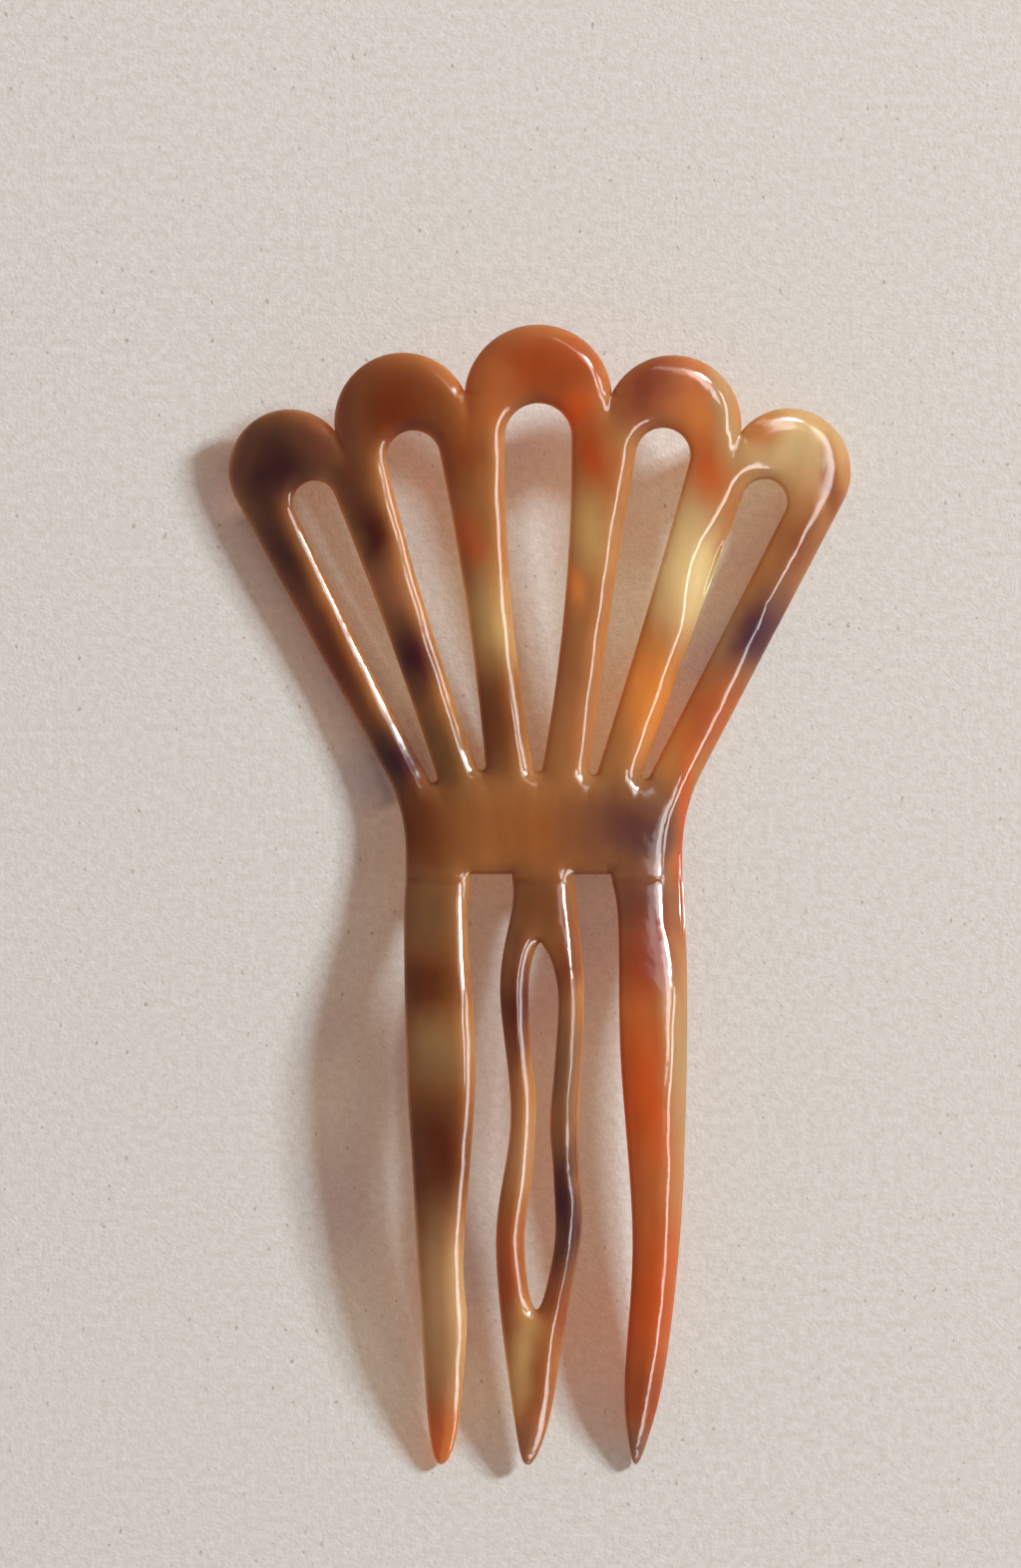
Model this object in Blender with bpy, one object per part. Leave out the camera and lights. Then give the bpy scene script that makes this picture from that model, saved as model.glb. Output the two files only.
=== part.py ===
"""Decorative hair comb: a scalloped fan of five pierced loops over a waist band and three hand-cut prongs.

The comb lies on its back with its face up. X runs across it, Y from the prong tips towards the fan, and Z
up from the table. Lengths are metres. The plan is drawn flat, each piece is filled and rounded there, and
then the plate is bent: raised along Y by the arch and lowered along X by the bow across the head.
"""

import math

import bmesh
import bpy

# The plate
THICKNESS = 0.0032
EDGE_ROUND = 0.0007
SEAM_GAP = 0.0003

# Plan: prongs, band and fan follow each other up the comb
PRONG_LENGTH = 0.0676
SHOULDER_DEPTH = 0.0009
BAND_HEIGHT = 0.0074
BAND_LEFT = -0.0151
BAND_RIGHT = 0.0165
LEFT_SLOT_X = -0.0077
LEFT_SLOT_WIDTH = 0.0047
RIGHT_SLOT_X = 0.0041
RIGHT_SLOT_WIDTH = 0.0042
FOCUS_DROP = 0.0243
LOBE_LAP = 0.0003
OPENING_TIP_RADIUS = 0.0005

# Each loop: its name, its lobe's distance from the fan's focus and radius, the turn of its opening from
# its own axis in degrees, the depth of solid crown above the opening, the radius of the opening's head,
# how far its tip stays above the band, and how far its sides belly out.
LOOPS = (
    ("loop_outer_left", 0.0692, 0.0069, 1.0, 0.0090, 0.0025, 0.0039, 0.0003),
    ("loop_inner_left", 0.0702, 0.0078, 0.2, 0.0090, 0.0031, 0.0051, 0.0005),
    ("loop_centre", 0.0710, 0.0084, 0.0, 0.0089, 0.0038, 0.0048, 0.0009),
    ("loop_inner_right", 0.0699, 0.0078, -0.3, 0.0084, 0.0031, 0.0046, 0.0002),
    ("loop_outer_right", 0.0692, 0.0071, -1.0, 0.0089, 0.0026, 0.0044, 0.0000),
)

# Each prong: its name, the left and right sides of its root, its left edge downwards, its tip and its right
# edge upwards. An edge's points are (share of the prong's length below the slot roots, step sideways from
# the straight line that joins that side of the root to the tip). The tip steps from the root's middle.
PRONGS = (
    (
        "prong_left",
        BAND_LEFT,
        LEFT_SLOT_X,
        ((0.0, 0.0), (0.1, -0.0006), (0.33, -0.0012), (0.5, -0.0012), (0.77, -0.0013), (0.95, -0.0011)),
        0.0003,
        ((0.95, 0.0016), (0.77, 0.0022), (0.64, 0.0014), (0.33, 0.0017), (0.1, 0.0), (0.0, 0.0)),
    ),
    (
        "prong_centre",
        LEFT_SLOT_X + LEFT_SLOT_WIDTH,
        RIGHT_SLOT_X,
        ((0.0, 0.0), (0.05, 0.0), (0.19, -0.0017), (0.41, -0.0009), (0.63, -0.0030), (0.93, -0.0014)),
        -0.00165,
        ((0.93, 0.0019), (0.75, 0.0030), (0.59, 0.0040), (0.44, 0.0028), (0.2, 0.0022), (0.0, 0.0)),
    ),
    (
        "prong_right",
        RIGHT_SLOT_X + RIGHT_SLOT_WIDTH,
        BAND_RIGHT,
        ((0.0, 0.0), (0.08, 0.0006), (0.3, 0.0002), (0.61, 0.0007), (0.86, -0.0009), (0.96, -0.0007)),
        -0.0012,
        ((0.96, 0.0011), (0.86, 0.0023), (0.7, 0.0029), (0.5, 0.0028), (0.2, 0.0016), (0.0, 0.0)),
    ),
)

# The slit that splits the centre prong, all the way round it, as steps sideways from the line that joins
# the middle of that prong's root to its tip
SLIT = (
    (0.115, 0.0), (0.145, -0.0010), (0.2, -0.0013), (0.31, -0.0008), (0.38, -0.0001), (0.5, -0.0003),
    (0.61, -0.0011), (0.7, -0.0005), (0.735, 0.0005), (0.7, 0.0015), (0.61, 0.0024), (0.5, 0.0020),
    (0.42, 0.0015), (0.31, 0.0019), (0.21, 0.0021), (0.15, 0.0013),
)

# How the plate is bent: the middle line's height at the tips, at the crest of the prongs, at the valley
# above the band and at the top of the fan, with where along Y the crest and the valley are
TIP_LIFT = 0.0017
CREST_FROM_TIP = 0.048
CREST_LIFT = 0.0093
VALLEY_ABOVE_BAND = 0.0035
VALLEY_LIFT = 0.0047
FAN_TOP_LIFT = 0.0133
BOW_RADIUS = 0.064

# How thin the prongs get at their tips, and over what length they thin
TIP_THICKNESS = 0.0016
THINNING_LENGTH = 0.017

# How finely curves are drawn and the plate is cut before it is bent
LOBE_STEPS = 18
HEAD_STEPS = 12
SIDE_STEPS = 9
TIP_STEPS = 4
EDGE_STEPS = 4
BEND_SPACING = 0.004
MERGE_DISTANCE = 0.000001

GLOSS_ROUGHNESS = 0.15
SHARPEST_SMOOTH_EDGE = math.radians(35)

SLOT_ROOT_Y = PRONG_LENGTH
SHOULDER_Y = SLOT_ROOT_Y - SHOULDER_DEPTH
SEAM_Y = SLOT_ROOT_Y + BAND_HEIGHT
FOCUS_Y = SEAM_Y - FOCUS_DROP
FAN_TOP_Y = FOCUS_Y + LOOPS[2][1] + LOOPS[2][2]

# Base colour, as linear RGB, of each piece's place in the mottled material
COLOURS = {
    "loop_outer_left": (0.070, 0.022, 0.018),
    "loop_inner_left": (0.180, 0.060, 0.018),
    "loop_centre": (0.330, 0.120, 0.030),
    "loop_inner_right": (0.420, 0.200, 0.060),
    "loop_outer_right": (0.360, 0.150, 0.050),
    "waist_band": (0.270, 0.100, 0.030),
    "prong_left": (0.130, 0.055, 0.025),
    "prong_centre": (0.160, 0.070, 0.035),
    "prong_right": (0.400, 0.110, 0.020),
}


def clear_scene():
    for obj in list(bpy.data.objects):
        bpy.data.objects.remove(obj)


def half_pitch(index):
    """The angle that a lobe takes up on each side of its axis, so that it laps its neighbour."""
    _, distance, radius, *_ = LOOPS[index]
    return math.asin((radius - LOBE_LAP) / distance)


def loop_axes():
    """Each loop's axis angle from +Y, measured from the centre loop outwards."""
    halves = [half_pitch(index) for index in range(len(LOOPS))]
    left = -halves[2] - halves[1]
    right = halves[2] + halves[3]
    return (left - halves[1] - halves[0], left, 0.0, right, right + halves[3] + halves[4])


def fan_point(angle, distance):
    return (distance * math.sin(angle), FOCUS_Y + distance * math.cos(angle))


def arc(centre, radius, start, end, steps):
    """Points round a centre between two angles, which are measured clockwise from +Y."""
    turns = [start + (end - start) * i / steps for i in range(steps + 1)]
    return [(centre[0] + radius * math.sin(t), centre[1] + radius * math.cos(t)) for t in turns]


def smooth(points, steps):
    """A Catmull-Rom curve through every point."""
    first = tuple(2 * a - b for a, b in zip(points[0], points[1]))
    last = tuple(2 * a - b for a, b in zip(points[-1], points[-2]))
    knots = [first, *points, last]
    curve = []
    for a, b, c, d in zip(knots, knots[1:], knots[2:], knots[3:]):
        for step in range(steps):
            t = step / steps
            curve.append(
                tuple(
                    q + 0.5 * t * (r - p + t * (2 * p - 5 * q + 4 * r - s + t * (3 * (q - r) + s - p)))
                    for p, q, r, s in zip(a, b, c, d)
                )
            )
    return [*curve, points[-1]]


def opening(index):
    """A loop's teardrop: a round head towards the lobe, sides that belly out, and a small round tip."""
    _, distance, radius, turn, crown, head_radius, tip_rise, belly = LOOPS[index]
    axis = loop_axes()[index] + math.radians(turn)
    head = fan_point(axis, distance + radius - crown - head_radius)
    tip = fan_point(axis, FOCUS_DROP / math.cos(axis) + tip_rise)
    across = (math.cos(axis), -math.sin(axis))
    shares = [step / SIDE_STEPS for step in range(1, SIDE_STEPS)]

    def side(sign, order):
        points = []
        for share in order:
            width = head_radius + (OPENING_TIP_RADIUS - head_radius) * share + 4 * belly * share * (1 - share)
            middle = [h + (t - h) * share for h, t in zip(head, tip)]
            points.append(tuple(m + sign * width * a for m, a in zip(middle, across)))
        return points

    quarter = math.pi / 2
    return [
        *arc(head, head_radius, axis - quarter, axis + quarter, HEAD_STEPS),
        *side(1, shares),
        *arc(tip, OPENING_TIP_RADIUS, axis + quarter, axis + 3 * quarter, TIP_STEPS),
        *side(-1, reversed(shares)),
    ]


def seam_end(angle, side):
    """Where the seam at this angle reaches the band, half a gap to one side of it."""
    shift = side * SEAM_GAP / 2 / math.cos(angle)
    y = SEAM_Y + SEAM_GAP / 2
    return ((y - FOCUS_Y) * math.tan(angle) + shift, y)


def seam_turn(angle, radius, side):
    """The turn round the lobe's centre at which its arc meets the seam, half a gap short of it."""
    return angle + side * math.asin((radius - LOBE_LAP - SEAM_GAP / 2) / radius)


def tangent_turn(centre, radius, corner, side):
    """The turn round the lobe's centre at which a straight leg from the corner touches that side of it."""
    dx = corner[0] - centre[0]
    dy = corner[1] - centre[1]
    spread = math.acos(radius / math.hypot(dx, dy))
    return math.atan2(dx, dy) - side * spread


def loop_side(index, side):
    """Where one side of a loop starts on the band, and the turn at which it runs into the lobe's arc."""
    _, distance, radius, *_ = LOOPS[index]
    axis = loop_axes()[index]
    outermost = len(LOOPS) - 1 if side > 0 else 0
    if index == outermost:
        corner = (BAND_RIGHT if side > 0 else BAND_LEFT, SEAM_Y + SEAM_GAP / 2)
        turn = tangent_turn(fan_point(axis, distance), radius, corner, side)
        return corner, turn % (side * 2 * math.pi)
    seam = axis + side * half_pitch(index)
    return seam_end(seam, -side), seam_turn(seam, radius, side)


def loop_outline(index):
    """One loop of the fan: its lobe, and its half of the bars that it shares with its neighbours."""
    _, distance, radius, *_ = LOOPS[index]
    centre = fan_point(loop_axes()[index], distance)
    left_corner, start = loop_side(index, -1)
    right_corner, end = loop_side(index, 1)
    return [left_corner, *arc(centre, radius, start, end, LOBE_STEPS), right_corner]


def prong_points(steps, root_x, tip_x):
    """Points given as shares of the prong's length and steps from the line that joins root and tip."""
    points = []
    for share, step in steps:
        x = root_x + (tip_x - root_x) * share + step
        points.append((x, SLOT_ROOT_Y - share * PRONG_LENGTH))
    return points


def prong_outline(left, right, down, tip, up):
    """Down the left edge from the shoulder, round the tip and up the right edge."""
    tip_x = (left + right) / 2 + tip
    tip_point = (tip_x, SLOT_ROOT_Y - PRONG_LENGTH)
    down_points = prong_points(down, left, tip_x)
    up_points = prong_points(up, right, tip_x)
    curve = smooth([*down_points, tip_point, *up_points], EDGE_STEPS)
    top = SHOULDER_Y - SEAM_GAP
    inside = [point for point in curve if point[1] < top - EDGE_ROUND]
    return [(left, top), *inside, (right, top)]


def slit_outline(left, right, tip):
    """The slit in the prong with this root and tip."""
    middle = (left + right) / 2
    points = prong_points(SLIT, middle, middle + tip)
    curve = smooth([points[-1], *points, points[0]], EDGE_STEPS)
    return curve[EDGE_STEPS:-EDGE_STEPS - 1]


def band_outline():
    """The band with three short shoulders, between which its lower edge makes the two slot roots."""
    top = SEAM_Y - SEAM_GAP / 2
    points = [(BAND_LEFT, top)]
    for _, left, right, *_ in PRONGS:
        points += [(left, SLOT_ROOT_Y), (left, SHOULDER_Y), (right, SHOULDER_Y), (right, SLOT_ROOT_Y)]
    return [*points, (BAND_RIGHT, top)]


def filled_plate(name, outlines):
    """A flat plate of the full thickness with rounded rims, as a mesh object."""
    curve = bpy.data.curves.new(name + "_plan", "CURVE")
    curve.dimensions = "2D"
    curve.fill_mode = "BOTH"
    curve.extrude = THICKNESS / 2 - EDGE_ROUND
    curve.bevel_depth = EDGE_ROUND
    curve.bevel_resolution = 1
    curve.offset = -EDGE_ROUND
    for outline in outlines:
        spline = curve.splines.new("POLY")
        spline.points.add(len(outline) - 1)
        for point, (x, y) in zip(spline.points, outline):
            point.co = (x, y, 0.0, 1.0)
        spline.use_cyclic_u = True
    drawn = bpy.data.objects.new(name + "_plan", curve)
    bpy.context.scene.collection.objects.link(drawn)
    graph = bpy.context.evaluated_depsgraph_get()
    mesh = bpy.data.meshes.new_from_object(drawn.evaluated_get(graph))
    mesh.name = name
    bpy.data.objects.remove(drawn)
    return bpy.data.objects.new(name, mesh)


def ease(share):
    """Rises from 0 to 1 with no slope at either end."""
    return share * share * (3 - 2 * share)


def arch_height(y):
    """The height of the plate's middle line above the table at this distance up the comb."""
    valley_y = SEAM_Y + VALLEY_ABOVE_BAND
    if y < CREST_FROM_TIP:
        share = (CREST_FROM_TIP - y) / CREST_FROM_TIP
        return CREST_LIFT + (TIP_LIFT - CREST_LIFT) * share * share
    if y < valley_y:
        share = (y - CREST_FROM_TIP) / (valley_y - CREST_FROM_TIP)
        return CREST_LIFT + (VALLEY_LIFT - CREST_LIFT) * ease(share)
    share = min(1.0, (y - valley_y) / (FAN_TOP_Y - valley_y))
    return VALLEY_LIFT + (FAN_TOP_LIFT - VALLEY_LIFT) * ease(share)


def thinning(y):
    """The share of the full thickness that the plate has at this distance up the comb."""
    tip_share = TIP_THICKNESS / THICKNESS
    return tip_share + (1 - tip_share) * ease(min(1.0, y / THINNING_LENGTH))


def bend_plate(obj):
    """Cuts the flat plate into strips both ways, then moves every point to its place on the bent plate."""
    mesh = bmesh.new()
    mesh.from_mesh(obj.data)
    bmesh.ops.remove_doubles(mesh, verts=mesh.verts, dist=MERGE_DISTANCE)
    for axis in (0, 1):
        values = [vert.co[axis] for vert in mesh.verts]
        line = math.ceil(min(values) / BEND_SPACING)
        while line * BEND_SPACING < max(values):
            place = [0.0, 0.0, 0.0]
            normal = [0.0, 0.0, 0.0]
            place[axis] = line * BEND_SPACING
            normal[axis] = 1.0
            everything = [*mesh.verts, *mesh.edges, *mesh.faces]
            bmesh.ops.bisect_plane(
                mesh, geom=everything, dist=MERGE_DISTANCE, plane_co=place, plane_no=normal
            )
            line += 1
    bmesh.ops.triangulate(mesh, faces=mesh.faces)
    for vert in mesh.verts:
        x, y, z = vert.co
        vert.co.z = z * thinning(y) + arch_height(y) - x * x / (2 * BOW_RADIUS)
    bmesh.ops.recalc_face_normals(mesh, faces=mesh.faces)
    mesh.to_mesh(obj.data)
    mesh.free()
    obj.data.shade_smooth()
    obj.data.set_sharp_from_angle(angle=SHARPEST_SMOOTH_EDGE)


def mottled_material(name):
    material = bpy.data.materials.new(name)
    material.use_nodes = True
    shader = material.node_tree.nodes["Principled BSDF"]
    shader.inputs["Base Color"].default_value = (*COLOURS[name], 1.0)
    shader.inputs["Roughness"].default_value = GLOSS_ROUGHNESS
    shader.inputs["Metallic"].default_value = 0.0
    return material


def rest_on_table(objects):
    """Moves the whole comb so that its box stands on Z = 0 and is centred on X = 0 and Y = 0."""
    points = [vert.co for obj in objects for vert in obj.data.vertices]
    lows = [min(point[axis] for point in points) for axis in range(3)]
    highs = [max(point[axis] for point in points) for axis in range(3)]
    shift = (-(lows[0] + highs[0]) / 2, -(lows[1] + highs[1]) / 2, -lows[2])
    for obj in objects:
        for vert in obj.data.vertices:
            vert.co = [value + move for value, move in zip(vert.co, shift)]


def plans():
    """Every piece's outlines: its own first, then any opening in it."""
    pieces = {loop[0]: [loop_outline(index), opening(index)] for index, loop in enumerate(LOOPS)}
    pieces["waist_band"] = [band_outline()]
    for name, left, right, down, tip, up in PRONGS:
        pieces[name] = [prong_outline(left, right, down, tip, up)]
        if name == "prong_centre":
            pieces[name].append(slit_outline(left, right, tip))
    return pieces


def main():
    clear_scene()
    collection = bpy.data.collections.new("hair_comb")
    bpy.context.scene.collection.children.link(collection)
    objects = []
    for name, outlines in plans().items():
        obj = filled_plate(name, outlines)
        collection.objects.link(obj)
        bend_plate(obj)
        obj.data.materials.append(mottled_material(name))
        objects.append(obj)
    rest_on_table(objects)


main()
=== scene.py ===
"""Looks of the decorative hair comb: one continuous carved plate of mottled, translucent horn-like plastic.

The comb's plan is drawn in millimetres, with X = 0 on the centre loop's axis and Y = 0 at the prong tips.
It is meshed finely, given its carved section, bent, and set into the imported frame.
"""

import math

import bpy
import numpy as np
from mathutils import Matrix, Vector, noise
from mathutils.geometry import delaunay_2d_cdt
from mathutils.kdtree import KDTree


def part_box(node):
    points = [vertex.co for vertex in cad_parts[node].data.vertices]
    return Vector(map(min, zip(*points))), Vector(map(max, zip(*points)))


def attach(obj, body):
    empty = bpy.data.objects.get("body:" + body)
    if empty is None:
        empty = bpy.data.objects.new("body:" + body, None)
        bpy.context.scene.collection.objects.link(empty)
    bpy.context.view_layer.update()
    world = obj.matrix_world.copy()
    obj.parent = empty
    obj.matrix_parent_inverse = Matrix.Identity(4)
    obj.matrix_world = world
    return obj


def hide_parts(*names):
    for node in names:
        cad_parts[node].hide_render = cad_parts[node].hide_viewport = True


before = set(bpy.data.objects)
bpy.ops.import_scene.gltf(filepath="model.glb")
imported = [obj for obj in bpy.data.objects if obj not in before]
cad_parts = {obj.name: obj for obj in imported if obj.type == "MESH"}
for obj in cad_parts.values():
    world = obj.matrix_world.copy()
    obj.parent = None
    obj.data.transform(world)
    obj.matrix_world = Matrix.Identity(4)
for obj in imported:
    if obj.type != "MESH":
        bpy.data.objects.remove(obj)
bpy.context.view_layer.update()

MM = 0.001

# The plan, in millimetres
PRONG_LENGTH = 67.6
BAND_HEIGHT = 7.4
BAND_LEFT = -15.1
BAND_RIGHT = 16.5
LEFT_SLOT = (-7.7, -3.0)
RIGHT_SLOT = (4.1, 8.3)
FOCUS_DROP = 24.3
LOBE_LAP = 0.3
WAIST_BLEND = 5.0
OPENING_TIP_RADIUS = 0.5

# Each loop: its lobe's distance from the fan's focus and radius, the turn of its opening in degrees, the
# depth of its crown, the radius of the opening's head, how far its tip stays above the band, and how far
# its sides belly out
LOOPS = (
    (69.2, 6.9, 1.0, 9.0, 2.5, 3.9, 0.3),
    (70.2, 7.8, 0.2, 9.0, 3.1, 5.1, 0.5),
    (71.0, 8.4, 0.0, 8.9, 3.8, 4.8, 0.9),
    (69.9, 7.8, -0.3, 8.4, 3.1, 4.6, 0.2),
    (69.2, 7.1, -1.0, 8.9, 2.6, 4.4, 0.0),
)

# Each prong: the two sides of its root, its left edge downwards, its tip and its right edge upwards. An
# edge's points are shares of the prong's length and steps sideways from the line that joins that side of
# the root to the tip. The tip steps from the root's middle.
PRONGS = (
    (
        BAND_LEFT,
        LEFT_SLOT[0],
        ((0.0, 0.0), (0.1, -0.6), (0.33, -1.2), (0.5, -1.2), (0.77, -1.3), (0.95, -1.1)),
        0.3,
        ((0.95, 1.6), (0.77, 2.2), (0.64, 1.4), (0.33, 1.7), (0.1, 0.0), (0.0, 0.0)),
    ),
    (
        LEFT_SLOT[1],
        RIGHT_SLOT[0],
        ((0.0, 0.0), (0.05, 0.0), (0.19, -1.7), (0.41, -0.9), (0.63, -3.0), (0.93, -1.4)),
        -1.65,
        ((0.93, 1.9), (0.75, 3.0), (0.59, 4.0), (0.44, 2.8), (0.2, 2.2), (0.0, 0.0)),
    ),
    (
        RIGHT_SLOT[1],
        BAND_RIGHT,
        ((0.0, 0.0), (0.08, 0.6), (0.3, 0.2), (0.61, 0.7), (0.86, -0.9), (0.96, -0.7)),
        -1.2,
        ((0.96, 1.1), (0.86, 2.3), (0.7, 2.9), (0.5, 2.8), (0.2, 1.6), (0.0, 0.0)),
    ),
)
# The slit in the centre prong, as steps sideways from the line that joins its root's middle to its tip
SLIT = (
    (0.115, 0.0), (0.145, -1.0), (0.2, -1.3), (0.31, -0.8), (0.38, -0.1), (0.5, -0.3),
    (0.61, -1.1), (0.7, -0.5), (0.735, 0.5), (0.7, 1.5), (0.61, 2.4), (0.5, 2.0),
    (0.42, 1.5), (0.31, 1.9), (0.21, 2.1), (0.15, 1.3),
)

# The bend: heights of the plate's middle, and where the crest and the valley are
TIP_LIFT = 1.7
CREST_Y = 48.0
CREST_LIFT = 9.3
VALLEY_ABOVE_BAND = 3.5
VALLEY_LIFT = 4.7
FAN_TOP_LIFT = 13.3
BOW_RADIUS = 64.0

# The carved section
THICKNESS = 3.2
TIP_THICKNESS = 1.6
THINNING_LENGTH = 17.0
FACET_WIDTH = 1.3
RIGHT_SLOPE = 1.0
LEFT_SLOPE = 0.45
RIDGE_SOFTNESS = 0.34
TOP_EDGE_ROUND = 0.35
BACK_EDGE_ROUND = 0.8
LEAST_WALL = 0.5
CARVING_WOBBLE = 0.12
WOBBLE_SIZE = 4.0
WOBBLE_LAYER = 4.0
NOTCH_CREASE = 5.0
OPENING_CREASE = 4.6
CREASE_REACH = 1.6
CREASE_FADE = 4 * RIDGE_SOFTNESS
SHOULDER_STEP = 0.22
SHOULDER_BELOW_ROOT = 0.4
SHOULDER_STEP_LENGTH = 0.5
SHOULDER_RUNOUT = 14.0

# Places where the facet along the edge is wider or narrower: X, Y, reach and width
FACETS = (
    (27.0, 100.0, 12.0, 2.0),
    (20.0, 103.0, 9.0, 2.6),
    (16.5, 66.0, 14.0, 2.3),
    (16.5, 40.0, 20.0, 1.9),
    (-8.0, 60.0, 10.0, 1.0),
)

# The mesh's fineness: rings follow the edge at shares of the facet's width, and a triangular grid starts
# past the last of them
EDGE_SPACING = 0.3
GRID_SPACING = 0.55
GRID_ROW_SHARE = 0.866
RING_SHARES = (0.12, 0.3, 0.6, 0.85, 1.0, 1.2)
RING_CLEARANCE = 0.93
GRID_MARGIN = 0.15
SIDE_TEST_STEP = 0.05
POINTS_AT_ONCE = 2000
SAME_POINT = 1e-5

BAND_TOP = PRONG_LENGTH + BAND_HEIGHT
VALLEY_Y = BAND_TOP + VALLEY_ABOVE_BAND
FOCUS_Y = BAND_TOP - FOCUS_DROP
FAN_TOP = FOCUS_Y + LOOPS[2][0] + LOOPS[2][1]


# ---------------------------------------------------------------------------------------------- plan


def half_pitch(loop):
    return math.asin((loop[1] - LOBE_LAP) / loop[0])


def loop_axes():
    """Each loop's axis angle from +Y."""
    halves = [half_pitch(loop) for loop in LOOPS]
    left = -halves[2] - halves[1]
    right = halves[2] + halves[3]
    return (left - halves[1] - halves[0], left, 0.0, right, right + halves[3] + halves[4])


def fan_point(angle, distance):
    return (distance * math.sin(angle), FOCUS_Y + distance * math.cos(angle))


def steps_for(length):
    return max(2, math.ceil(length / EDGE_SPACING))


def arc(centre, radius, start, end):
    """Points round a centre between two turns, measured clockwise from +Y."""
    steps = steps_for(abs(end - start) * radius)
    turns = [start + (end - start) * i / steps for i in range(steps + 1)]
    return [(centre[0] + radius * math.sin(t), centre[1] + radius * math.cos(t)) for t in turns]


def line(start, end):
    """Points along a straight edge, without its end."""
    steps = steps_for(math.dist(start, end))
    return [tuple(a + (b - a) * i / steps for a, b in zip(start, end)) for i in range(steps)]


def smooth(points):
    """A Catmull-Rom curve through every point."""
    first = tuple(2 * a - b for a, b in zip(points[0], points[1]))
    last = tuple(2 * a - b for a, b in zip(points[-1], points[-2]))
    knots = [first, *points, last]
    curve = []
    for a, b, c, d in zip(knots, knots[1:], knots[2:], knots[3:]):
        steps = steps_for(math.dist(b, c))
        for step in range(steps):
            t = step / steps
            curve.append(
                tuple(
                    q + 0.5 * t * (r - p + t * (2 * p - 5 * q + 4 * r - s + t * (3 * (q - r) + s - p)))
                    for p, q, r, s in zip(a, b, c, d)
                )
            )
    return [*curve, points[-1]]


def opening_ends(index):
    """The axis of a loop's opening, and the centres of its head and tip."""
    distance, radius, turn, crown, head_radius, tip_rise, _ = LOOPS[index]
    axis = loop_axes()[index] + math.radians(turn)
    head = fan_point(axis, distance + radius - crown - head_radius)
    tip = fan_point(axis, FOCUS_DROP / math.cos(axis) + tip_rise)
    return axis, head, tip


def opening(index):
    """A teardrop: a round head, sides that belly out, and a small round tip."""
    axis, head, tip = opening_ends(index)
    head_radius, belly = LOOPS[index][4], LOOPS[index][6]
    across = (math.cos(axis), -math.sin(axis))
    steps = steps_for(math.dist(head, tip))
    shares = [step / steps for step in range(1, steps)]

    def side(sign, order):
        points = []
        for share in order:
            width = head_radius + (OPENING_TIP_RADIUS - head_radius) * share
            width += 4 * belly * share * (1 - share)
            middle = [h + (t - h) * share for h, t in zip(head, tip)]
            points.append(tuple(m + sign * width * a for m, a in zip(middle, across)))
        return points

    quarter = math.pi / 2
    return [
        *arc(head, head_radius, axis - quarter, axis + quarter),
        *side(1, shares),
        *arc(tip, OPENING_TIP_RADIUS, axis + quarter, axis + 3 * quarter),
        *side(-1, reversed(shares)),
    ]


def crossing(first, second):
    """The outer point where two lobes' circles cross. A lobe is its centre and radius."""
    (centre_a, radius_a), (centre_b, radius_b) = first, second
    span = math.dist(centre_a, centre_b)
    along = (span * span + radius_a ** 2 - radius_b ** 2) / (2 * span)
    rise = math.sqrt(radius_a ** 2 - along ** 2)
    ux = (centre_b[0] - centre_a[0]) / span
    uy = (centre_b[1] - centre_a[1]) / span
    return (centre_a[0] + along * ux - rise * uy, centre_a[1] + along * uy + rise * ux)


def lobes():
    return [(fan_point(axis, loop[0]), loop[1]) for axis, loop in zip(loop_axes(), LOOPS)]


def notches():
    circles = lobes()
    return [crossing(a, b) for a, b in zip(circles, circles[1:])]


def leg_turn(lobe, corner, side):
    """The turn at which a straight leg from the band's corner touches the outer side of a lobe."""
    centre, radius = lobe
    dx = corner[0] - centre[0]
    dy = corner[1] - centre[1]
    turn = math.atan2(dx, dy) - side * math.acos(radius / math.hypot(dx, dy))
    return turn % (side * 2 * math.pi)


def waist(corner, leg_end):
    """From the leg down round the soft corner to the band's straight side."""
    reach = WAIST_BLEND / math.dist(corner, leg_end)
    start = tuple(c + (e - c) * reach for c, e in zip(corner, leg_end))
    end = (corner[0], corner[1] - WAIST_BLEND)
    steps = steps_for(2 * WAIST_BLEND)
    curve = []
    for step in range(steps):
        t = step / steps
        curve.append(
            tuple((1 - t) ** 2 * s + 2 * t * (1 - t) * c + t * t * e for s, c, e in zip(start, corner, end))
        )
    return [*line(leg_end, start), *curve, *line(end, (corner[0], PRONG_LENGTH))]


def fan_outline():
    """From the left leg's foot over the five lobes to the right leg's foot."""
    circles = lobes()
    cusps = notches()
    left_corner = (BAND_LEFT, BAND_TOP)
    right_corner = (BAND_RIGHT, BAND_TOP)
    points = []
    for index, (centre, radius) in enumerate(circles):
        if index == 0:
            start = leg_turn(circles[0], left_corner, -1)
        else:
            cusp = cusps[index - 1]
            start = math.atan2(cusp[0] - centre[0], cusp[1] - centre[1])
        if index == len(circles) - 1:
            end = leg_turn(circles[-1], right_corner, 1)
        else:
            cusp = cusps[index]
            end = math.atan2(cusp[0] - centre[0], cusp[1] - centre[1])
        points += arc(centre, radius, start, end)[: None if index == len(circles) - 1 else -1]
    left_waist = waist(left_corner, points[0])
    return [*reversed(left_waist[1:]), *points[:-1], *waist(right_corner, points[-1])]


def prong_points(steps, root_x, tip_x):
    return [(root_x + (tip_x - root_x) * share + step, PRONG_LENGTH * (1 - share)) for share, step in steps]


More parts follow.
